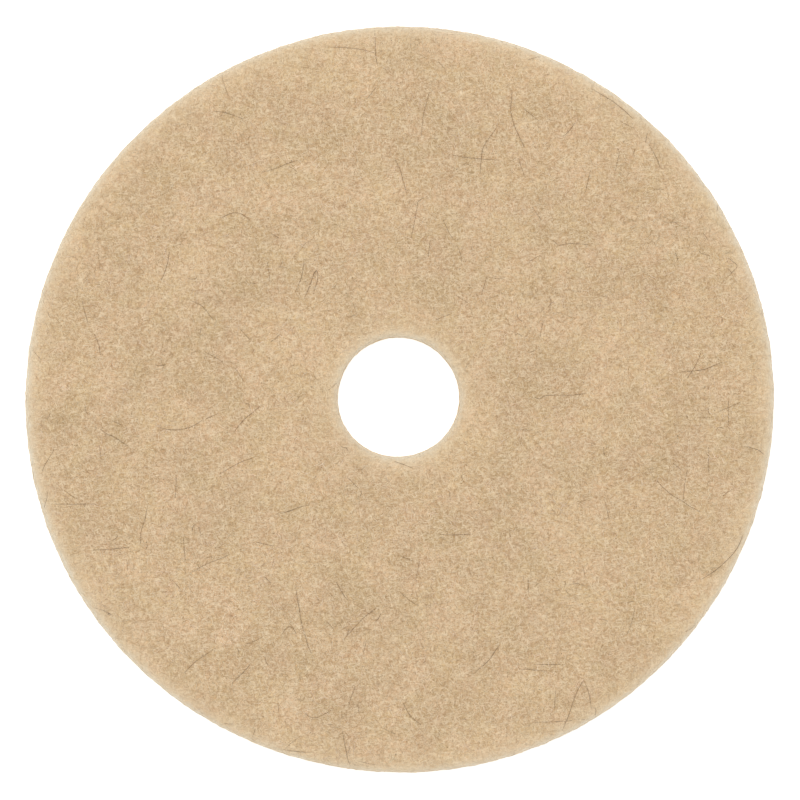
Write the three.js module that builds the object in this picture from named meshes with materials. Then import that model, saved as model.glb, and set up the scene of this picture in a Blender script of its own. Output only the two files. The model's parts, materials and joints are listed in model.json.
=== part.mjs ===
// A floor polishing pad for a 20 inch floor machine, as a three.js model in millimetres with +Z up.
// The pad is one piece: a thick disc of non-woven hair and fibre web, die-cut from a sheet, with a round
// hole through its middle for the lock of the machine's pad holder. Both faces are alike, so it works
// either way up. It lies flat, with its lower face on Z = 0 and the middle of its outline on the Z axis.
import * as THREE from "three";
import { mergeVertices } from "three/addons/utils/BufferGeometryUtils.js";

// Driving dimensions
const padDiameter = 508;
const padThickness = 25.4;
const holeDiameter = 82.55;

// How far the hole was cut off the middle of the disc
const holeShiftX = -0.9;
const holeShiftY = 1.6;

// The cut edges roll over softly, more across the face than down the wall
const rimRollWidth = 7;
const rimRollDepth = 4.5;
const holeRollWidth = 5;
const holeRollDepth = 3.5;

// The cut walls bow in a little at half height, where the web gave way to the die
const wallBow = 0.5;

// Neither cut is a true circle: each lobe is how far the cut wanders in and out, and how often round the disc
const rimLobes = [
  { wander: 0.45, count: 2, turn: 0.2 },
  { wander: 0.2, count: 3, turn: -0.7 },
  { wander: 0.12, count: 4, turn: 0.3 },
  { wander: 0.13, count: 5, turn: 0 },
];
const holeLobes = [
  { wander: 0.4, count: 2, turn: 0.1 },
  { wander: 0.25, count: 3, turn: -0.3 },
];

// Shallow hollows in both faces, where the web is thin between flat ground that was pressed level
const hollowDepth = 0.9;
const hollowStart = 0.05;
const hollowFull = 1.05;
const hollowWaves = [
  { length: 83, heading: 0.35, phase: 0.4 },
  { length: 61, heading: 1.62, phase: 2.1 },
  { length: 97, heading: 2.48, phase: 4.0 },
];

// Fineness of the mesh
const stepsRound = 96;
const stepsAcrossFace = 11;
const stepsInRoll = 4;
const stepsUpWall = 4;

const padRadius = padDiameter / 2;
const holeRadius = holeDiameter / 2;

const padMaterial = new THREE.MeshStandardMaterial({
  name: "fibre_web",
  color: new THREE.Color("rgb(208, 181, 145)"),
  roughness: 0.95,
  metalness: 0,
});

// A quarter of an ellipse as section points, from one angle to another, both ends included
function rollPoints(centreRadius, centreHeight, width, depth, fromAngle, toAngle) {
  const points = [];
  for (let i = 0; i <= stepsInRoll; i += 1) {
    const angle = THREE.MathUtils.lerp(fromAngle, toAngle, i / stepsInRoll);
    const radius = centreRadius + width * Math.cos(angle);
    const height = centreHeight + depth * Math.sin(angle);
    points.push(new THREE.Vector2(radius, height));
  }
  return points;
}

// Points between two others on a straight line, without the ends, bowed sideways by a sine
function linePoints(from, to, steps, bow) {
  const points = [];
  for (let i = 1; i < steps; i += 1) {
    const point = from.clone().lerp(to, i / steps);
    point.x += bow * Math.sin((Math.PI * i) / steps);
    points.push(point);
  }
  return points;
}

// The pad's section as a closed loop of (radius, height) points: up the rim, in across the upper face,
// down the hole's wall and out across the lower face
function sectionPoints() {
  const quarter = Math.PI / 2;
  const rimCentre = padRadius - rimRollWidth;
  const holeCentre = holeRadius + holeRollWidth;
  const upperRim = rollPoints(rimCentre, padThickness - rimRollDepth, rimRollWidth, rimRollDepth, 0, quarter);
  const upperHole = rollPoints(
    holeCentre, padThickness - holeRollDepth, holeRollWidth, holeRollDepth, quarter, 2 * quarter,
  );
  const lowerHole = rollPoints(holeCentre, holeRollDepth, holeRollWidth, holeRollDepth, 2 * quarter, 3 * quarter);
  const lowerRim = rollPoints(rimCentre, rimRollDepth, rimRollWidth, rimRollDepth, -quarter, 0);
  const loop = [
    ...upperRim,
    ...linePoints(upperRim.at(-1), upperHole[0], stepsAcrossFace, 0),
    ...upperHole,
    ...linePoints(upperHole.at(-1), lowerHole[0], stepsUpWall, wallBow),
    ...lowerHole,
    ...linePoints(lowerHole.at(-1), lowerRim[0], stepsAcrossFace, 0),
    ...lowerRim,
    ...linePoints(lowerRim.at(-1), upperRim[0], stepsUpWall, -wallBow),
  ];
  loop.push(loop[0].clone());
  return loop;
}

// How far a cut stands in or out of its circle at an angle round the disc
function wanderOf(lobes, angle) {
  return lobes.reduce((sum, lobe) => sum + lobe.wander * Math.cos(lobe.count * (angle - lobe.turn)), 0);
}

// How deep the face lies below its level ground at a point, from 0 on the ground to hollowDepth
function hollowAt(x, y) {
  let swell = 0;
  for (const wave of hollowWaves) {
    const along = x * Math.cos(wave.heading) + y * Math.sin(wave.heading);
    swell += Math.sin((2 * Math.PI * along) / wave.length + wave.phase) / hollowWaves.length;
  }
  return hollowDepth * THREE.MathUtils.smoothstep(swell, hollowStart, hollowFull);
}

// Moves each point of the true ring to where it lies in the real pad
function shapeWeb(geometry) {
  const position = geometry.getAttribute("position");
  const point = new THREE.Vector3();
  const middle = padThickness / 2;
  for (let i = 0; i < position.count; i += 1) {
    point.fromBufferAttribute(position, i);
    const radius = Math.hypot(point.x, point.y);
    const angle = Math.atan2(point.y, point.x);
    const nearHole = THREE.MathUtils.clamp((padRadius - radius) / (padRadius - holeRadius), 0, 1);
    const wander = THREE.MathUtils.lerp(wanderOf(rimLobes, angle), wanderOf(holeLobes, angle), nearHole);
    const shapedRadius = radius + wander;
    const side = Math.sign(point.z - middle);
    const onFace = Math.abs(point.z - middle) / middle;
    const x = shapedRadius * Math.cos(angle) + nearHole * holeShiftX;
    const y = shapedRadius * Math.sin(angle) + nearHole * holeShiftY;
    const z = point.z - side * onFace * hollowAt(x * side, y);
    position.setXYZ(i, x, y, z);
  }
  geometry.computeVertexNormals();
  return geometry;
}

// The web disc as one closed ring, turned about Z, with its seam merged before it is shaped
function makePad() {
  const turned = new THREE.LatheGeometry(sectionPoints(), stepsRound);
  turned.rotateX(Math.PI / 2);
  turned.deleteAttribute("normal");
  turned.deleteAttribute("uv");
  const pad = new THREE.Mesh(shapeWeb(mergeVertices(turned)), padMaterial);
  pad.name = "polishing_pad";
  return pad;
}

const floorPad = new THREE.Group();
floorPad.name = "floor_polishing_pad";
floorPad.add(makePad());

export default floorPad;
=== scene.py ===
import json
import math
import random

import bpy
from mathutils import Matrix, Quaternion, Vector
from mathutils.bvhtree import BVHTree

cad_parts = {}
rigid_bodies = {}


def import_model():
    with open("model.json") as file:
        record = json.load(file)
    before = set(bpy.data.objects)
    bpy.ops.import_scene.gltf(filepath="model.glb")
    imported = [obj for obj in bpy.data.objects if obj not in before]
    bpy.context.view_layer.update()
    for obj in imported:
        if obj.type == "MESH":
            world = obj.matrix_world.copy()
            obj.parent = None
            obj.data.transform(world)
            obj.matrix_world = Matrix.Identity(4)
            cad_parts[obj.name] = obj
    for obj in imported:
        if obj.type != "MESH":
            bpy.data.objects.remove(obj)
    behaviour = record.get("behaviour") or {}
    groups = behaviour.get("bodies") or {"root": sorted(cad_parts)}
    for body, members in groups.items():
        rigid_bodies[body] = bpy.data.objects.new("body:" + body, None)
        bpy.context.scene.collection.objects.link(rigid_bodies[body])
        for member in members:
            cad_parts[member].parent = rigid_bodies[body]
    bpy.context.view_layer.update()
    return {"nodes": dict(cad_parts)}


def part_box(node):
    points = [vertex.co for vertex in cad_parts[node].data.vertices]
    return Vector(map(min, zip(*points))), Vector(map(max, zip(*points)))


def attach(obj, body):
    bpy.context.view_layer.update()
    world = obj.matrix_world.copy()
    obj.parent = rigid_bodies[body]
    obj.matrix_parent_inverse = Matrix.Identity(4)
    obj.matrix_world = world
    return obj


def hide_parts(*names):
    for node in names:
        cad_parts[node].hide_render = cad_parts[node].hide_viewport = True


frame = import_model()
bpy.ops.object.select_all(action="DESELECT")

holeSearch = {
    "reach": 4,  # the hole's wall lies within a fourth of the disc's radius
    "belt": 5,  # and is read within a fifth of the thickness from mid height
}

# The pad as the frame gives it: a disc round the Z axis, with its hole a little off the middle
padNode = frame["nodes"]["polishing_pad"]
padLow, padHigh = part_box("polishing_pad")
padTop = padHigh.z
discRadius = (padHigh.x - padLow.x + padHigh.y - padLow.y) / 4
holeWall = [v.co for v in padNode.data.vertices
            if v.co.xy.length < discRadius / holeSearch["reach"]
            and abs(v.co.z - padTop / 2) < padTop / holeSearch["belt"]]
holeMiddle = Vector((sum(c.x for c in holeWall), sum(c.y for c in holeWall))) / len(holeWall)
holeRadius = sum((c.xy - holeMiddle).length for c in holeWall) / len(holeWall)
print(f"frame loaded: disc radius {discRadius:.4f}, hole radius {holeRadius:.4f} at {holeMiddle[:]}")

# How the picture was taken: straight down on the pad, from far enough to keep its edges upright
pictureValues = {
    "pixels": 800,
    "metresPerPixel": 0.0006807,  # at the pad's upper face
    "middleX": 399.4,  # the pad's middle, in pixels from the left
    "middleY": 399.7,  # and from the top
    "cameraHeight": 5.0,  # above the pad's upper face
    "cameraX": 0.00019,
    "cameraY": -0.00016,
    "farthest": 50.0,  # what the camera still sees
}


def pickOnly(piece):
    bpy.ops.object.select_all(action="DESELECT")
    piece.select_set(True)
    bpy.context.view_layer.objects.active = piece


def applyModifier(piece, kind, **settings):
    pickOnly(piece)
    modifier = piece.modifiers.new(kind.title(), kind)
    for setting, value in settings.items():
        setattr(modifier, setting, value)
    bpy.ops.object.modifier_apply(modifier=modifier.name)


# Shader node helpers
def newGroup(name, inputs, outputs):
    group = bpy.data.node_groups.new(name, "ShaderNodeTree")
    for label, kind, value in inputs:
        socket = group.interface.new_socket(name=label, in_out="INPUT", socket_type=kind)
        if value is not None:
            socket.default_value = value
    for label, kind in outputs:
        group.interface.new_socket(name=label, in_out="OUTPUT", socket_type=kind)
    return group, group.nodes.new("NodeGroupInput"), group.nodes.new("NodeGroupOutput")


def feed(tree, socket, value):
    if isinstance(value, bpy.types.NodeSocket):
        tree.links.new(value, socket)
    else:
        socket.default_value = value


def math2(tree, operation, first, second=0.0):
    node = tree.nodes.new("ShaderNodeMath")
    node.operation = operation
    feed(tree, node.inputs[0], first)
    feed(tree, node.inputs[1], second)
    return node.outputs[0]


def vectorMath(tree, operation, first, second):
    node = tree.nodes.new("ShaderNodeVectorMath")
    node.operation = operation
    feed(tree, node.inputs[0], first)
    if operation == "SCALE":
        feed(tree, node.inputs["Scale"], second)
    else:
        feed(tree, node.inputs[1], second)
    return node.outputs["Value" if operation == "LENGTH" else "Vector"]


def mixColour(tree, amount, first, second, blend="MIX"):
    node = tree.nodes.new("ShaderNodeMix")
    node.data_type = "RGBA"
    node.blend_type = blend
    feed(tree, node.inputs[0], amount)
    feed(tree, node.inputs[6], first)  # the sockets A and B of the colour kind
    feed(tree, node.inputs[7], second)
    return node.outputs[2]


def remap(tree, value, fromLow, fromHigh, toLow=0.0, toHigh=1.0):
    node = tree.nodes.new("ShaderNodeMapRange")
    node.interpolation_type = "SMOOTHSTEP"
    for socket, given in zip(node.inputs, (value, fromLow, fromHigh, toLow, toHigh)):
        feed(tree, socket, given)
    return node.outputs[0]


def noise(tree, vector, scale, detail=2.0, roughness=0.5, seed=0.0):
    node = tree.nodes.new("ShaderNodeTexNoise")
    node.noise_dimensions = "4D"
    feed(tree, node.inputs["Vector"], vector)
    feed(tree, node.inputs["Scale"], scale)
    feed(tree, node.inputs["Detail"], detail)
    feed(tree, node.inputs["Roughness"], roughness)
    feed(tree, node.inputs["W"], seed)
    return node


def useGroup(tree, group, **values):
    node = tree.nodes.new("ShaderNodeGroup")
    node.node_tree = group
    for label, value in values.items():
        feed(tree, node.inputs[label], value)
    return node


def addBump(tree, shader, height, strength, distance):
    bump = tree.nodes.new("ShaderNodeBump")
    bump.inputs["Strength"].default_value = strength
    bump.inputs["Distance"].default_value = distance
    tree.links.new(height, bump.inputs["Height"])
    tree.links.new(bump.outputs["Normal"], shader.inputs["Normal"])


edgeValues = {
    "fade": 0.008,  # how far into a face the mask of a cut reaches
    "wallStart": 0.002,  # depth under a face where the wall begins
    "wallFull": 0.012,
}


# How near a point is to a cut edge of the pad: 1 on the cut, fading into the face
def makeCutEdgeGroup(values):
    group, given, result = newGroup("cutEdge", [
        ("Vector", "NodeSocketVector", None),
        ("Fade", "NodeSocketFloat", values["fade"]),
        ("Disc", "NodeSocketFloat", discRadius),
        ("Hole", "NodeSocketFloat", holeRadius),
        ("Middle", "NodeSocketVector", (holeMiddle.x, holeMiddle.y, 0.0)),
        ("Thickness", "NodeSocketFloat", padTop),
    ], [("Edge", "NodeSocketFloat"), ("Wall", "NodeSocketFloat")])
    flat = vectorMath(group, "MULTIPLY", given.outputs["Vector"], (1.0, 1.0, 0.0))
    fromAxis = vectorMath(group, "LENGTH", flat, (0.0, 0.0, 0.0))
    toRim = math2(group, "SUBTRACT", given.outputs["Disc"], fromAxis)
    fromHole = vectorMath(group, "SUBTRACT", flat, given.outputs["Middle"])
    fromHole = vectorMath(group, "LENGTH", fromHole, (0.0, 0.0, 0.0))
    toHole = math2(group, "SUBTRACT", fromHole, given.outputs["Hole"])
    depth = math2(group, "MAXIMUM", math2(group, "MINIMUM", toRim, toHole), 0.0)
    fall = math2(group, "DIVIDE", depth, given.outputs["Fade"])
    edge = math2(group, "EXPONENT", math2(group, "MULTIPLY", fall, -1.0))
    group.links.new(edge, result.inputs["Edge"])
    # The mask Wall is 0 on the faces and rises to 1 at the middle of the wall
    split = group.nodes.new("ShaderNodeSeparateXYZ")
    feed(group, split.inputs[0], given.outputs["Vector"])
    half = math2(group, "MULTIPLY", given.outputs["Thickness"], 0.5)
    fromMiddle = math2(group, "ABSOLUTE", math2(group, "SUBTRACT", split.outputs["Z"], half))
    below = math2(group, "SUBTRACT", half, fromMiddle)
    wall = remap(group, below, values["wallStart"], values["wallFull"])
    group.links.new(wall, result.inputs["Wall"])
    return group


streakValues = {
    "across": 1000.0,  # fibres to the metre
    "along": 110.0,
    "level": 0.58,  # only peaks of the noise above this are fibres
    "softness": 0.10,
}


# Short tapered fibres that lie one way: the peaks of a noise drawn out along one direction
def makeStreaksGroup(values):
    group, given, result = newGroup("fibreStreaks", [
        ("Vector", "NodeSocketVector", None),
        ("Turn", "NodeSocketFloat", 0.0),
        ("Across", "NodeSocketFloat", values["across"]),
        ("Along", "NodeSocketFloat", values["along"]),
        ("Level", "NodeSocketFloat", values["level"]),
        ("Seed", "NodeSocketFloat", 0.0),
    ], [("Fibres", "NodeSocketFloat")])
    turned = group.nodes.new("ShaderNodeVectorRotate")
    turned.rotation_type = "Z_AXIS"
    feed(group, turned.inputs["Vector"], given.outputs["Vector"])
    feed(group, turned.inputs["Angle"], given.outputs["Turn"])
    drawn = group.nodes.new("ShaderNodeCombineXYZ")
    for socket, label in zip(drawn.inputs, ("Along", "Across", "Across")):
        feed(group, socket, given.outputs[label])
    place = vectorMath(group, "MULTIPLY", turned.outputs[0], drawn.outputs[0])
    field = noise(group, place, 1.0, 0.0, seed=given.outputs["Seed"])
    top = math2(group, "ADD", given.outputs["Level"], values["softness"])
    fibres = remap(group, field.outputs["Fac"], given.outputs["Level"], top)
    group.links.new(fibres, result.inputs["Fibres"])
    return group


toneValues = {
    "scale": 120.0,
    "dark": (0.45, 0.3, 0.17, 1.0),
    "light": (0.8, 0.62, 0.42, 1.0),
    "detail": 6.0,
    "grain": 0.68,
    "contrast": (0.32, 0.68),
    "patchScale": 48.0,  # patches that lean to pink or to straw
    "patchDetail": 2.0,
    "patchGrain": 0.6,
    "patchContrast": (0.35, 0.65),
    "patchSeed": 43.0,
    "pink": (1.032, 1.008, 1.040, 1.0),
    "straw": (0.972, 0.986, 0.931, 1.0),
    "cloudScale": 19.0,  # broad clouds of darker and paler web
    "cloudDetail": 2.0,
    "cloudGrain": 0.9,
    "cloudContrast": (0.3, 0.7),
    "cloudSeed": 40.0,
    "darker": (0.884, 0.877, 0.879, 1.0),
    "paler": (1.110, 1.113, 1.137, 1.0),
}


# Natural fibre is never one colour: two tones drift into each other along and across the threads
def makeToneGroup(values):
    group, given, result = newGroup("toneDrift", [
        ("Vector", "NodeSocketVector", None),
        ("Scale", "NodeSocketFloat", values["scale"]),
        ("Dark", "NodeSocketColor", values["dark"]),
        ("Light", "NodeSocketColor", values["light"]),
        ("Cloud Scale", "NodeSocketFloat", values["cloudScale"]),
        ("Seed", "NodeSocketFloat", 0.0),
    ], [("Colour", "NodeSocketColor"), ("Value", "NodeSocketFloat")])
    field = noise(group, given.outputs["Vector"], given.outputs["Scale"], values["detail"],
                  values["grain"], given.outputs["Seed"])
    value = remap(group, field.outputs["Fac"], *values["contrast"])
    colour = mixColour(group, value, given.outputs["Dark"], given.outputs["Light"])
    patch = noise(group, given.outputs["Vector"], values["patchScale"], values["patchDetail"],
                  values["patchGrain"], values["patchSeed"])
    lean = remap(group, patch.outputs["Fac"], *values["patchContrast"])
    tint = mixColour(group, lean, values["pink"], values["straw"])
    colour = mixColour(group, 1.0, colour, tint, "MULTIPLY")
    cloud = noise(group, given.outputs["Vector"], given.outputs["Cloud Scale"], values["cloudDetail"],
                  values["cloudGrain"], values["cloudSeed"])
    shade = remap(group, cloud.outputs["Fac"], *values["cloudContrast"])
    shade = mixColour(group, shade, values["darker"], values["paler"])
    colour = mixColour(group, 1.0, colour, shade, "MULTIPLY")
    group.links.new(colour, result.inputs["Colour"])
    group.links.new(value, result.inputs["Value"])
    return group


cutEdge = makeCutEdgeGroup(edgeValues)
fibreStreaks = makeStreaksGroup(streakValues)
toneDrift = makeToneGroup(toneValues)

webLook = {
    "deep": (0.385, 0.235, 0.115, 1.0),  # painted shade in the gaps between the fibres
    "dark": (0.565, 0.370, 0.193, 1.0),
    "light": (0.795, 0.580, 0.346, 1.0),
    "thread": (0.940, 0.750, 0.505, 1.0),
    "rim": (0.980, 0.745, 0.455, 1.0),  # painted light on the faces beside a cut, where light wraps round the fibrous edge
    "cut": (0.912, 0.812, 0.630, 1.0),  # the very lip of a cut: partly painted light through the edge fibres, partly the paler cut web
    "toneScale": 420.0,
    "layering": (1.0, 1.0, 2.4),  # on the walls the web lies in layers
    "edgeFade": 0.0085,
    "litRimAmount": 0.50,
    "lipFade": 0.0028,
    "lipOnFace": 0.78,
    "lipOnWall": 0.35,
    "raggedCut": 0.005,
    "roughness": 0.92,
    "smoother": 0.12,  # taken off the roughness where the web stands highest
    "highest": 3.0,
    "sheen": 0.12,
    "bumpDistance": 0.0006,
    "bumpStrength": 0.55,
    "bend": 0.0036,
    "bendScale": 200.0,
    "bendSeed": 61.0,
    "pitScale": 600.0,  # pits where the web opens, painted darker as shade
    "pitDetail": 3.0,
    "pitGrain": 0.6,
    "pitLimits": (0.44, 0.30),
    "pitShadeAmount": 0.6,
    "pitSeed": 21.0,
    # Turn in degrees, fibres to the metre across and along, colour, strength, rise
    "layers": [
        # the first two layers, in the gap colour, are painted shade between the fibres
        (8.0, 1050.0, 125.0, "deep", 0.32, -0.6),
        (97.0, 1100.0, 130.0, "deep", 0.32, -0.6),
        (142.0, 1200.0, 145.0, "thread", 0.38, 0.7),
        (52.0, 1250.0, 145.0, "thread", 0.38, 0.7),
        (118.0, 1150.0, 140.0, "dark", 0.42, 0.3),
        (28.0, 1150.0, 140.0, "dark", 0.42, 0.3),
        (165.0, 1400.0, 165.0, "thread", 0.51, 1.0),
        (75.0, 1450.0, 170.0, "thread", 0.51, 1.0),
        (0.0, 1350.0, 160.0, "thread", 0.48, 1.0),
    ],
}


# Beside a cut the colour is painted paler: broadly on the face, as painted light wrapping round the
# edge, and again on the very lip, partly painted light and partly the paler cut web, less on the wall
def litPaleCut(tree, colour, place, raggedPlace, look, rim, cut):
    edge = useGroup(tree, cutEdge, Vector=place, Fade=webLook["edgeFade"])
    lip = useGroup(tree, cutEdge, Vector=raggedPlace, Fade=webLook["lipFade"])
    # Painted light: the faces near a cut are painted paler
    litRimAmount = math2(tree, "MULTIPLY", edge.outputs["Edge"], look["litRimAmount"])
    colour = mixColour(tree, litRimAmount, colour, rim)
    share = remap(tree, lip.outputs["Wall"], 0.0, 1.0, look["lipOnFace"], look["lipOnWall"])
    return mixColour(tree, math2(tree, "MULTIPLY", lip.outputs["Edge"], share), colour, cut)


# The pad's own web, under the threads that lie on it
def makeWebMaterial(look):
    material = bpy.data.materials.new("hairWeb")
    material.use_nodes = True
    tree = material.node_tree
    shader = tree.nodes["Principled BSDF"]
    place = tree.nodes.new("ShaderNodeTexCoord").outputs["Object"]
    layered = vectorMath(tree, "MULTIPLY", place, look["layering"])
    tone = useGroup(tree, toneDrift, Vector=layered, Scale=look["toneScale"], Dark=look["dark"],
                    Light=look["light"])
    colour = tone.outputs["Colour"]
    height = tone.outputs["Value"]
    # Layers of matted fibre, each lying its own way, bent by one slow noise; the layers in the gap
    # colour are painted shade between the fibres
    bend = noise(tree, place, look["bendScale"], 1.0, seed=look["bendSeed"])
    bend = vectorMath(tree, "SUBTRACT", bend.outputs["Color"], (0.5, 0.5, 0.5))
    bent = vectorMath(tree, "ADD", place, vectorMath(tree, "SCALE", bend, look["bend"]))
    for layer, (turn, across, along, shade, strength, rise) in enumerate(look["layers"]):
        streaks = useGroup(tree, fibreStreaks, Vector=bent, Turn=math.radians(turn), Across=across,
                           Along=along, Seed=float(layer))
        amount = math2(tree, "MULTIPLY", streaks.outputs["Fibres"], strength)
        colour = mixColour(tree, amount, colour, look[shade])
        height = math2(tree, "ADD", height, math2(tree, "MULTIPLY", streaks.outputs["Fibres"], rise))
    pits = noise(tree, layered, look["pitScale"], look["pitDetail"], look["pitGrain"], look["pitSeed"])
    pitMask = remap(tree, pits.outputs["Fac"], *look["pitLimits"])
    # Pits are painted darker in the gap colour, as painted shade, and sunk in the bump
    colour = mixColour(tree, math2(tree, "MULTIPLY", pitMask, look["pitShadeAmount"]), colour, look["deep"])
    height = math2(tree, "SUBTRACT", height, pitMask)
    ragged = vectorMath(tree, "ADD", place, vectorMath(tree, "SCALE", bend, look["raggedCut"]))
    colour = litPaleCut(tree, colour, place, ragged, look, look["rim"], look["cut"])
    tree.links.new(colour, shader.inputs["Base Color"])
    least = look["roughness"] - look["smoother"]
    rough = remap(tree, height, 0.0, look["highest"], look["roughness"], least)
    tree.links.new(rough, shader.inputs["Roughness"])
    shader.inputs["Sheen Weight"].default_value = look["sheen"]
    addBump(tree, shader, height, look["bumpStrength"], look["bumpDistance"])
    return material


# What all the loose threads and hairs have in common
fibreLook = {
    "scale": 400.0,
    "roughness": 0.78,
    "roughnessSwing": 0.08,
    # The threads too are painted paler near a cut, as painted light
    "rim": webLook["rim"],
    "litRimAmount": 0.40,
    "lipOnFace": 0.72,
    "lipOnWall": 0.12,
    "bumpStrength": 0.3,
    "bumpDistance": 0.0001,
}


# One colour family of loose threads
def makeFibreMaterial(name, look):
    material = bpy.data.materials.new(name)
    material.use_nodes = True
    tree = material.node_tree
    shader = tree.nodes["Principled BSDF"]
    place = tree.nodes.new("ShaderNodeTexCoord").outputs["Object"]
    tone = useGroup(tree, toneDrift, Vector=place, Scale=look["scale"], Dark=look["dark"],
                    Light=look["light"], Seed=look["seed"])
    colour = litPaleCut(tree, tone.outputs["Colour"], place, place, look, look["rim"], look["cut"])
    tree.links.new(colour, shader.inputs["Base Color"])
    rough = remap(tree, tone.outputs["Value"], 0.0, 1.0, look["roughness"] + look["roughnessSwing"],
                  look["roughness"] - look["roughnessSwing"])
    tree.links.new(rough, shader.inputs["Roughness"])
    addBump(tree, shader, tone.outputs["Value"], look["bumpStrength"], look["bumpDistance"])
    return material


webShape = {
    "weld": 0.00001,
    "voxel": 0.003,
    "inset": -0.0003,
    "spread": 1.002,  # the web frays out a little past the cut
    "softening": 0.5,
    "softenings": 2,
    "swell": 0.0005,  # hills and dips of the web
    "swellSize": 0.020,
    "grain": 0.0005,
    "grainSize": 0.006,
    "octaves": 2,
    "rest": 0.0002,  # the table stands this far under the lowest fibre
}


# The web itself: the disc remeshed evenly, softened, and given the web's uneven surface
def makeWeb(values):
    pickOnly(padNode)
    bpy.ops.object.duplicate()
    web = bpy.context.active_object
    web.name = "padWeb"
    web.data.name = "padWeb"
    bpy.ops.object.parent_clear(type="CLEAR_KEEP_TRANSFORM")
    bpy.ops.object.mode_set(mode="EDIT")
    bpy.ops.mesh.select_all(action="SELECT")
    bpy.ops.mesh.remove_doubles(threshold=values["weld"])
    bpy.ops.transform.shrink_fatten(value=-values["inset"])
    bpy.ops.transform.resize(value=(values["spread"], values["spread"], 1.0),
                             center_override=(0.0, 0.0, 0.0))
    bpy.ops.object.mode_set(mode="OBJECT")
    applyModifier(web, "REMESH", mode="VOXEL", voxel_size=values["voxel"])
    applyModifier(web, "SMOOTH", factor=values["softening"], iterations=values["softenings"])
    for label, size, strength in (("swell", values["swellSize"], values["swell"]),
                                  ("grain", values["grainSize"], values["grain"])):
        texture = bpy.data.textures.new(label, "CLOUDS")
        texture.noise_scale = size
        texture.noise_depth = values["octaves"]
        applyModifier(web, "DISPLACE", texture=texture, strength=strength, mid_level=0.5,
                      texture_coords="LOCAL")
    bpy.ops.object.shade_smooth()
    web.data.materials.clear()
    web.data.materials.append(makeWebMaterial(webLook))
    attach(web, "root")
    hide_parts("polishing_pad")
    print("pad web made:", len(web.data.polygons), "faces")
    return web


padWeb = makeWeb(webShape)
surface = BVHTree.FromObject(padWeb, bpy.context.evaluated_depsgraph_get())
tableHeight = min(v.co.z for v in padWeb.data.vertices) - webShape["rest"]
webFaces = [(face.center.copy(), face.normal.copy(), face.area) for face in padWeb.data.polygons]

threadPlaces = {
    "faceInset": 0.003,  # threads of the faces start this far in from a cut
    "wallBand": 0.004,  # threads of the walls start on the wall and its lips
    "wallReach": 0.010,  # and thinly as far as this into the faces
    "wallReachShare": 0.45,
}


# Depth of a point behind the nearer of the two cuts
def cutDepth(point):
    return min(discRadius - point.xy.length, (point.xy - holeMiddle).length - holeRadius)


def onUpperFace(point, normal):
    return max(normal.z, 0.0) if cutDepth(point) > threadPlaces["faceInset"] else 0.0


def onLowerFace(point, normal):
    return max(-normal.z, 0.0) if cutDepth(point) > threadPlaces["faceInset"] else 0.0


def onWalls(point, normal):
    if cutDepth(point) > threadPlaces["wallReach"]:
        return 0.0
    return 1.0 if cutDepth(point) < threadPlaces["wallBand"] else threadPlaces["wallReachShare"]


threadShape = {
    "sides": 3,  # a three-sided section keeps thousands of threads light
    "steps": 4,
    "stride": 0.0018,
    "radius": 0.0002,
    "thickness": (0.8, 1.2),
    "endThickness": 0.55,
    "curl": 0.45,
    "wander": 0.40,
    "lift": (0.0, 0.0006),
    "dive": 0.0004,
    "steep": 0.8,  # a surface whose normal rises less than this is a wall
    "wallSpread": 0.55,
    "clearance": 1.3,  # kept above the table, in radii
    "weld": 0.00001,
}


def makeSection(radius, sides):
    section = bpy.data.curves.new("threadSection", "CURVE")
    section.dimensions = "2D"
    ring = section.splines.new("POLY")
    ring.points.add(sides - 1)
    for corner, point in enumerate(ring.points):
        turn = 2 * math.pi * corner / sides
        point.co = (radius * math.cos(turn), radius * math.sin(turn), 0.0, 1.0)
    ring.use_cyclic_u = True
    piece = bpy.data.objects.new("threadSection", section)
    bpy.context.collection.objects.link(piece)
    return piece


# Walks a thread over the web: it curls, lifts a little in the middle and dives in at both ends
def walkThread(rng, start, values):
    point, up, _, _ = surface.find_nearest(start)
    onWall = abs(up.z) < values["steep"]
    sideways = Vector((-up.y, up.x, 0.0)) if onWall else Vector((1.0, 0.0, 0.0))
    spread = values["wallSpread"] if onWall else math.pi
    heading = Quaternion(up, rng.uniform(-spread, spread)) @ sideways
    if rng.random() < 0.5:  # one way or the other along the wall
        heading = -heading
    curl = rng.gauss(0.0, values["curl"])
    lift = rng.uniform(*values["lift"])
    steps = values["steps"]
    path = []
    for step in range(steps + 1):
        rise = -values["dive"] + (lift + values["dive"]) * math.sin(math.pi * step / steps)
        place = point + up * rise
        place.z = max(place.z, tableHeight + values["radius"] * values["clearance"])
        path.append(place)
        heading = Quaternion(up, curl + rng.gauss(0.0, values["wander"])) @ heading
        heading = (heading - up * heading.dot(up)).normalized()
        found, up, _, _ = surface.find_nearest(point + heading * values["stride"])
        heading = (found - point).normalized()
        point = found
    return path


def makeThreads(name, values, weightOf, material):
    rng = random.Random(values["seed"])
    weights = [weightOf(centre, normal) * area for centre, normal, area in webFaces]
    curve = bpy.data.curves.new(name, "CURVE")
    curve.dimensions = "3D"
    for centre, _, _ in rng.choices(webFaces, weights, k=values["count"]):
        jitter = Vector((rng.uniform(-1, 1), rng.uniform(-1, 1), rng.uniform(-1, 1)))
        path = walkThread(rng, centre + jitter * webShape["voxel"] / 2, values)
        addThread(curve, "POLY", path, rng.uniform(*values["thickness"]))
    return finishThreads(name, curve, values["radius"], material)


def addThread(curve, kind, path, thickness):
    spline = curve.splines.new(kind)
    spline.points.add(len(path) - 1)
    last = len(path) - 1
    for step, (point, place) in enumerate(zip(spline.points, path)):
        point.co = (*place, 1.0)
        point.radius = thickness * (threadShape["endThickness"] if step in (0, last) else 1.0)
    return spline


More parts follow.
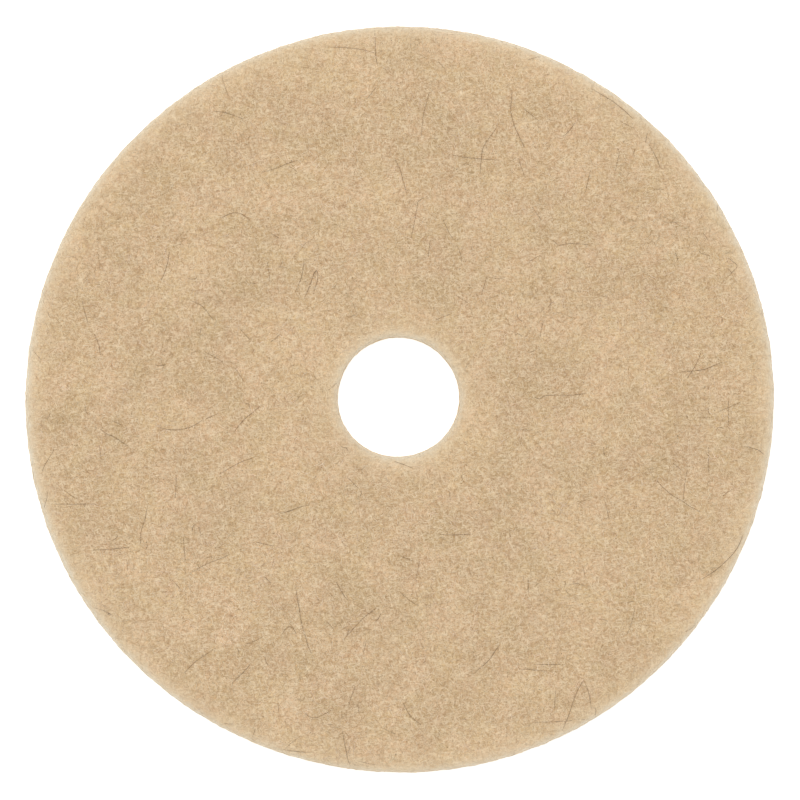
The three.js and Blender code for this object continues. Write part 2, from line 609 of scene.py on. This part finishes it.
def finishThreads(name, curve, radius, material):
    section = makeSection(radius, threadShape["sides"])
    curve.bevel_mode = "OBJECT"
    curve.bevel_object = section
    curve.use_fill_caps = True
    piece = bpy.data.objects.new(name, curve)
    bpy.context.collection.objects.link(piece)
    pickOnly(piece)
    bpy.ops.object.convert(target="MESH")
    piece = bpy.context.active_object
    piece.name = name
    piece.data.name = name
    bpy.ops.object.mode_set(mode="EDIT")
    bpy.ops.mesh.select_all(action="SELECT")
    bpy.ops.mesh.remove_doubles(threshold=threadShape["weld"])
    bpy.ops.mesh.normals_make_consistent(inside=False)
    bpy.ops.object.mode_set(mode="OBJECT")
    bpy.ops.object.shade_smooth()
    bpy.data.objects.remove(section)
    piece.data.materials.clear()
    piece.data.materials.append(material)
    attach(piece, "root")
    triangles = sum(len(face.vertices) - 2 for face in piece.data.polygons)
    print(f"{name} made: {triangles} triangles")
    return piece


# Each family's cut colour is its colour on the lip of a cut: partly painted light, partly the paler cut
# fibre
creamThreads = dict(threadShape, seed=11, count=7200)
creamLook = dict(fibreLook, dark=(0.80, 0.605, 0.380, 1.0), light=(0.99, 0.845, 0.630, 1.0),
                 cut=(0.92, 0.82, 0.645, 1.0), seed=1.0)
makeThreads("creamThreads", creamThreads, onUpperFace, makeFibreMaterial("creamHair", creamLook))

tanThreads = dict(threadShape, seed=12, count=7200, lift=(0.0, 0.0004))
tanLook = dict(fibreLook, dark=(0.54, 0.355, 0.185, 1.0), light=(0.78, 0.57, 0.345, 1.0),
               cut=(0.88, 0.77, 0.59, 1.0), seed=2.0)
makeThreads("tanThreads", tanThreads, onUpperFace, makeFibreMaterial("tanHair", tanLook))

strawThreads = dict(threadShape, seed=13, count=7200, curl=0.6, lift=(0.0, 0.0004))
strawLook = dict(fibreLook, dark=(0.64, 0.455, 0.25, 1.0), light=(0.92, 0.73, 0.475, 1.0),
                 cut=(0.90, 0.79, 0.61, 1.0), seed=3.0)
makeThreads("strawThreads", strawThreads, onUpperFace, makeFibreMaterial("strawHair", strawLook))

undersideThreads = dict(threadShape, seed=14, count=5000)
undersideLook = dict(fibreLook, dark=(0.66, 0.475, 0.28, 1.0), light=(0.91, 0.73, 0.51, 1.0),
                     cut=(0.87, 0.75, 0.58, 1.0), seed=4.0)
makeThreads("undersideThreads", undersideThreads, onLowerFace,
            makeFibreMaterial("undersideHair", undersideLook))

wallThreads = dict(threadShape, seed=15, count=7200, stride=0.003, wander=0.15, curl=0.15,
                   lift=(-0.0001, 0.0003))
wallLook = dict(fibreLook, dark=(0.50, 0.34, 0.185, 1.0), light=(0.96, 0.83, 0.635, 1.0),
                cut=(0.92, 0.82, 0.645, 1.0), seed=5.0)
makeThreads("wallThreads", wallThreads, onWalls, makeFibreMaterial("cutHair", wallLook))

hairShape = {
    "radius": 0.00016,
    "thinning": (0.65, 1.15),  # each hair swells and thins along its way
    "height": (0.0002, 0.0008),  # above the web, in and out of the threads
    "endHeight": 0.0001,
    "heightSeed": 30,
    "curveSteps": 3,
    "curveOrder": 3,
    "midway": 0.4,  # where a hair of two spots gets a third
}

# The dark hairs that the picture shows, each by the pixels that it passes through
darkHairs = {
    "topLevel": [(327, 47), (340, 47), (355, 48.5), (365, 50), (374, 53)],
    "topUpright": [(374.5, 33), (375, 45), (375, 53), (377, 65)],
    "topLeftRim": [(221, 74), (223, 82), (225, 88), (228, 96)],
    "topLeftLong": [(213, 111), (220, 111.5), (230, 113.5), (243, 119)],
    "topLeftSlope": [(262, 172), (270, 170), (280, 167), (287, 163), (298, 160)],
    "topSlant": [(375, 88), (371, 94), (366, 99)],
    "leftArch": [(221, 218), (227, 214), (236, 212), (245, 215), (250, 221)],
    "topHalf": [(429, 92), (427, 100), (424, 110), (422.5, 118), (421, 136)],
    "aboveHole": [(395, 160), (400, 168), (403, 182), (407, 195)],
    "topCross": [(452, 155), (462, 157), (480, 159), (498, 160)],
    "topCrossed": [(498, 125), (492, 134), (485, 143), (481, 152), (480, 173)],
    "topRightBend": [(512, 92), (510, 105), (511, 115), (514, 126), (519, 137), (524, 147)],
    "topRightShort": [(524, 109), (530, 114), (539, 121)],
    "topRim": [(527, 60), (533, 58), (541, 55)],
    "topRightBow": [(578, 119), (572, 127), (566, 134), (562, 137)],
    "rightRimLong": [(592, 89), (602, 95), (611, 100), (620, 107), (627, 113), (633, 119)],
    "rightRimInner": [(620, 121), (626, 125), (634, 128)],
    "rightRimUpright": [(647, 133), (645, 143)],
    "rightHook": [(649, 145), (654, 154), (658, 161), (660, 168)],
    "rightUpper": [(619, 152), (617, 163), (615, 171)],
    "leftBow": [(169, 252), (168, 260), (166, 268), (163, 276), (161, 280)],
    "leftLower": [(82, 301), (83.5, 309), (86, 317), (88, 324)],
    "leftLowest": [(94, 334), (97, 340), (99.5, 348), (100, 355)],
    "leftOfHole": [(192, 301), (200, 304), (206, 310), (213, 320)],
    "holeLeftDark": [(304, 259), (303, 270), (300, 282), (295, 292)],
    "holeLeftLoop": [(303, 300), (308, 290), (311, 281), (314, 272),
                     (317, 270), (318, 277), (316, 285), (313, 294)],
    "innerShort": [(267, 262), (269, 272), (269.5, 280)],
    "innerSlope": [(240, 329), (245, 335), (250, 340)],
    "innerRise": [(280, 334), (276, 338), (270, 342)],
    "upperRight": [(443, 220), (447, 230), (452, 238)],
    "upperRightNext": [(457, 246), (461, 253), (461, 262)],
    "rightLevel": [(553, 240), (557, 246), (565, 244), (575, 243), (590, 245)],
    "holeRightDark": [(534, 397), (540, 400), (543, 395), (565, 395), (576, 395), (586, 393)],
    "holeRightUp": [(544, 320), (541, 326), (540, 337)],
    "farRightShort": [(700, 253), (705, 254.5), (710, 256)],
    "farRightLoop": [(726, 278), (732, 272), (738, 266), (733, 262), (728, 258)],
    "rightEdge": [(752, 328.5), (760, 328.5), (767, 328.5)],
    "rightLong": [(676, 372.5), (690, 371), (705, 369.5), (712, 366), (722, 362)],
    "rightCrossing": [(702, 350), (697, 362), (692, 371), (687, 378)],
    "leftLong": [(158, 427), (165, 429), (175, 430), (184, 429),
                 (193, 426), (202, 420), (210, 417), (218, 413)],
    "leftDown": [(100, 429), (106, 434), (115, 437), (121, 442), (128, 446)],
    "leftEdgeCurl": [(47, 491), (47, 498), (44, 505), (42, 509)],
    "leftFlat": [(55, 504), (70, 504), (85, 504), (100, 504)],
    "leftInner": [(64, 490), (70, 496), (78, 499)],
    "leftUpright": [(148, 503), (146, 512), (145, 519), (142, 527), (140, 535), (140.5, 545)],
    "lowerLeftFlat": [(92, 550), (105, 549.5), (120, 548), (130, 547)],
    "lowerLeftRise": [(190, 573), (200, 567), (210, 562), (222, 558), (230, 554)],
    "lowerLeftFall": [(172, 580), (176, 584), (181, 590)],
    "middleLeft": [(260, 406), (252, 413), (245, 418), (238, 426), (234, 432)],
    "middleSlope": [(219, 474), (226, 470), (236, 464), (245, 460), (255, 457)],
    "middleRise": [(276, 514), (286, 512), (294, 509), (302, 506), (309, 505)],
    "holeLowerLeft": [(376, 456), (369, 463), (361, 470)],
    "holeBelow": [(347, 477), (352, 482), (358, 488)],
    "holeBelowRight": [(394, 461), (399, 463), (405, 465), (412, 468)],
    "lowerMiddle": [(256, 542), (264, 544), (274, 546)],
    "belowRight": [(517, 430), (525, 429.5), (533, 430)],
    "belowLevel": [(438, 534), (450, 535), (462, 534.5), (472, 534)],
    "lowerRightLong": [(656, 480), (662, 487), (671, 495), (681, 500), (690, 507), (701, 512)],
    "lowerRightUp": [(687, 470), (684, 482), (683, 500)],
    "farRightLow": [(744, 446), (753, 448), (761, 451), (769, 458)],
    "lowerRightSweep": [(743, 535), (740, 544), (733, 554), (725, 562),
                        (716, 570), (708, 575), (700, 580)],
    "bottomLong": [(295, 585), (297, 598), (299, 608), (301, 622),
                   (303, 630), (306, 638), (307, 645), (311, 653)],
    "bottomArch": [(282, 634), (285, 628), (290, 626), (294, 629), (296, 634)],
    "bottomFlat": [(246, 644), (255, 641), (262, 637)],
    "bottomSlant": [(232, 683), (238, 677), (245, 670), (250, 664)],
    "bottomLeftSlope": [(184, 673), (192, 664), (200, 658), (215, 648)],
    "bottomLeftRim": [(94, 608), (102, 610), (108, 613), (113, 616)],
    "bottomDiagonal": [(343, 640), (350, 632), (358, 623), (368, 613), (376, 608)],
    "bottomStep": [(336, 582), (341, 592), (347, 600)],
    "bottomBowl": [(304, 712), (308, 717), (316, 718), (324, 714), (331, 710)],
    "bottomUpright": [(342, 730), (344, 741), (346, 752), (348, 762), (350, 768)],
    "bottomRimDark": [(283, 750), (290, 751), (300, 752), (313, 752)],
    "bottomRimRise": [(285, 749), (291, 742), (300, 736)],
    "bottomRightFlat": [(519, 669), (530, 669), (545, 671)],
    "bottomCurl": [(403, 703), (407, 712), (413, 719), (421, 725)],
    "bottomCurve": [(473, 674), (481, 667), (490, 659), (495, 650), (499, 645)],
    "bottomMiddle": [(400, 592), (410, 602), (419, 606)],
    "tentLeft": [(562, 731), (567, 719), (571, 707), (575, 695), (579, 686), (584, 679)],
    "tentRight": [(584, 681), (588, 690), (590, 700), (591, 709)],
    "bottomRightRim": [(685, 632), (690, 630), (696, 627)],
    "bottomRightThin": [(532, 722), (545, 722), (565, 721), (585, 720)],
    "rightSpeck": [(686, 416), (688, 418)],
    "lowerRightSpeck": [(579, 621), (581, 623)],
}

# Paler hairs, seen as faint lines
faintHairs = {
    "leftRimFaint": [(54, 449), (49, 458), (43, 467), (41, 475)],
    "leftShortFaint": [(99, 445), (100, 452), (101, 460)],
    "leftSideFaint": [(113, 421), (117, 423), (122, 425)],
    "lowLeftFaint": [(183, 537), (184, 548), (185, 560)],
    "midLeftFaint": [(176, 475), (176, 486), (175, 498)],
    "lowLeftUprightFaint": [(127, 562), (127, 571)],
    "bottomLevelFaint": [(326, 621), (330, 625), (334, 630)],
    "bottomDropFaint": [(366, 640), (365, 647), (363, 653)],
    "bottomTiltFaint": [(355, 686), (351, 696), (348, 706)],
    "bottomFallFaint": [(380, 727), (388, 731), (396, 734)],
    "bottomEndFaint": [(358, 761), (366, 763), (375, 765)],
    "bottomLeftFaint": [(255, 729), (252, 737)],
    "bottomLeftFlatFaint": [(220, 724), (233, 724)],
    "lowRightFlatFaint": [(533, 664), (548, 664.5), (565, 664)],
    "lowRightDropFaint": [(555, 690), (555, 700), (554, 710)],
    "rightBendFaint": [(634, 608), (634, 617), (627, 634)],
    "rightWaveFaint": [(569, 585), (575, 581), (584, 586)],
    "rightWaveShortFaint": [(552, 591), (560, 590)],
    "rightDropFaint": [(528, 580), (528, 592)],
    "belowHoleFaint": [(420, 557), (418, 570), (415, 580)],
    "belowHoleShortFaint": [(509, 528), (510, 537)],
    "belowHoleTiltFaint": [(401, 556), (412, 561)],
    "farRightWaveFaint": [(719, 411), (727, 408), (740, 402)],
    "farRightDropFaint": [(728, 400), (728, 412), (728, 425)],
    "rightDropLongFaint": [(708, 447), (708, 460), (708, 472)],
    "rightTiltFaint": [(673, 463), (681, 470)],
    "rightMiddleFaint": [(605, 502), (607, 511), (609, 520)],
    "farRightFlatFaint": [(698, 417), (712, 417)],
    "upperDropFaint": [(430, 240), (429, 248), (428, 257)],
    "upperRightDropFaint": [(487, 275), (484, 285), (481, 295)],
    "upperRightLoopFaint": [(487, 277), (500, 280), (505, 277)],
    "upperRightRiseFaint": [(485, 300), (498, 295)],
    "upperFallFaint": [(532, 207), (541, 220)],
    "upperRiseFaint": [(528, 262), (540, 255)],
    "nearHoleFaint": [(455, 295), (468, 303)],
    "nearHoleRiseFaint": [(435, 320), (452, 313)],
    "aboveHoleFaint": [(418, 200), (415, 218), (411, 238)],
    "topFallFaint": [(518, 158), (521, 168), (525, 178)],
    "topRightDropFaint": [(590, 170), (588, 181), (585, 192)],
    "leftInnerFaint": [(235, 368), (244, 382)],
    "leftOfHoleFaint": [(328, 390), (337, 383)],
    "leftFallFaint": [(205, 352), (223, 362)],
    "farLeftFaint": [(42, 300), (50, 318)],
    "farLeftShortFaint": [(34, 352), (41, 360)],
    "farRightShortFaint": [(744, 300), (750, 295)],
    "rightUpperFaint": [(703, 233), (708, 240)],
}


def pictureToPad(x, y):
    scale = pictureValues["metresPerPixel"]
    return Vector(((x - pictureValues["middleX"]) * scale, (pictureValues["middleY"] - y) * scale))


def makeHairs(name, hairs, values, material):
    rng = random.Random(values["heightSeed"])
    curve = bpy.data.curves.new(name, "CURVE")
    curve.dimensions = "3D"
    curve.resolution_u = values["curveSteps"]
    for pixels in hairs.values():
        spots = [pictureToPad(x, y) for x, y in pixels]
        if len(spots) == 2:
            spots.insert(1, spots[0].lerp(spots[1], values["midway"]))
        path = []
        for spot in spots:
            found, up, _, _ = surface.find_nearest(Vector((spot.x, spot.y, padTop)))
            buried = spot in (spots[0], spots[-1])
            path.append(found + up * (values["endHeight"] if buried else rng.uniform(*values["height"])))
        spline = addThread(curve, "NURBS", path, 1.0)
        spline.order_u = values["curveOrder"]
        for point in spline.points[1:-1]:
            point.radius = rng.uniform(*values["thinning"])
        spline.use_endpoint_u = True
    return finishThreads(name, curve, values["radius"], material)


# Near a cut the hairs are painted paler too: painted light, and at the very lip partly the paler cut
darkLook = dict(fibreLook, dark=(0.100, 0.046, 0.020, 1.0), light=(0.29, 0.155, 0.072, 1.0),
                rim=(0.27, 0.16, 0.085, 1.0), cut=(0.27, 0.16, 0.085, 1.0), roughness=0.5, seed=6.0)
makeHairs("darkHairs", darkHairs, hairShape, makeFibreMaterial("darkHair", darkLook))

faintLook = dict(fibreLook, dark=(0.130, 0.066, 0.030, 1.0), light=(0.355, 0.21, 0.108, 1.0),
                 rim=(0.34, 0.22, 0.125, 1.0), cut=(0.34, 0.22, 0.125, 1.0), roughness=0.5, seed=8.0)
makeHairs("faintHairs", faintHairs, hairShape, makeFibreMaterial("faintHair", faintLook))

# Short stray hairs and specks that the picture shows everywhere, but not one by one
brownThreads = dict(threadShape, seed=31, count=60, radius=0.00013, steps=5, curl=0.2,
                    lift=(0.0001, 0.0006))
# Near a cut these are painted paler too: painted light, and at the very lip partly the paler cut
brownLook = dict(fibreLook, dark=(0.16, 0.09, 0.045, 1.0), light=(0.36, 0.22, 0.12, 1.0),
                 rim=(0.38, 0.25, 0.15, 1.0), cut=(0.38, 0.25, 0.15, 1.0), roughness=0.55, seed=7.0)
makeThreads("brownHairs", brownThreads, onUpperFace, makeFibreMaterial("brownHair", brownLook))

speckThreads = dict(threadShape, seed=33, count=260, radius=0.00019, steps=2, stride=0.0007,
                    lift=(0.0003, 0.0006))
speckLook = dict(fibreLook, dark=(0.14, 0.085, 0.045, 1.0), light=(0.40, 0.26, 0.15, 1.0),
                 rim=(0.40, 0.28, 0.17, 1.0), cut=(0.40, 0.28, 0.17, 1.0), roughness=0.6, seed=9.0)
makeThreads("hairSpecks", speckThreads, onUpperFace, makeFibreMaterial("speckHair", speckLook))

tableValues = {
    "size": 16.0,
    "colour": (0.92, 0.92, 0.92, 1.0),
    "roughness": 0.9,
    "gloss": 0.0,
    "glowColour": (1.0, 1.0, 1.0, 1.0),
    "glow": 0.5,  # brings the table to the picture's white
}


# A wide plain table under the pad
def makeTable(values):
    bpy.ops.mesh.primitive_plane_add(size=values["size"], location=(0.0, 0.0, tableHeight))
    table = bpy.context.active_object
    table.name = "paleTable"
    material = bpy.data.materials.new("paleTable")
    material.use_nodes = True
    shader = material.node_tree.nodes["Principled BSDF"]
    shader.inputs["Base Color"].default_value = values["colour"]
    shader.inputs["Roughness"].default_value = values["roughness"]
    shader.inputs["Specular IOR Level"].default_value = values["gloss"]
    shader.inputs["Emission Color"].default_value = values["glowColour"]
    shader.inputs["Emission Strength"].default_value = values["glow"]
    table.data.materials.append(material)


makeTable(tableValues)

lightValues = {
    "skyColour": (1.0, 1.0, 1.0, 1.0),
    "skyStrength": 0.644,
    "keyPower": 51.5,
    "keySize": 2.0,
    "keyPlace": (-0.18, 0.55, 3.4),
}


def makeLights(values):
    world = bpy.data.worlds.new("studio")
    bpy.context.scene.world = world
    world.use_nodes = True
    sky = world.node_tree.nodes["Background"]
    sky.inputs["Color"].default_value = values["skyColour"]
    sky.inputs["Strength"].default_value = values["skyStrength"]
    bpy.ops.object.light_add(type="AREA", location=values["keyPlace"])
    key = bpy.context.active_object
    key.name = "keyLight"
    key.data.energy = values["keyPower"]
    key.data.shape = "DISK"
    key.data.size = values["keySize"]
    aim = Vector((0.0, 0.0, padTop)) - Vector(values["keyPlace"])
    key.rotation_mode = "QUATERNION"
    key.rotation_quaternion = aim.to_track_quat("-Z", "Y")


makeLights(lightValues)


def makeCamera(values):
    height = padTop + values["cameraHeight"]
    bpy.ops.object.camera_add(location=(values["cameraX"], values["cameraY"], height),
                              rotation=(0.0, 0.0, 0.0))
    camera = bpy.context.active_object
    camera.name = "pictureCamera"
    across = values["pixels"] * values["metresPerPixel"]
    camera.data.lens = camera.data.sensor_width * values["cameraHeight"] / across
    camera.data.clip_end = values["farthest"]
    bpy.context.scene.camera = camera


makeCamera(pictureValues)
bpy.context.scene.view_settings.view_transform = "Standard"
print("table, lights and camera set")
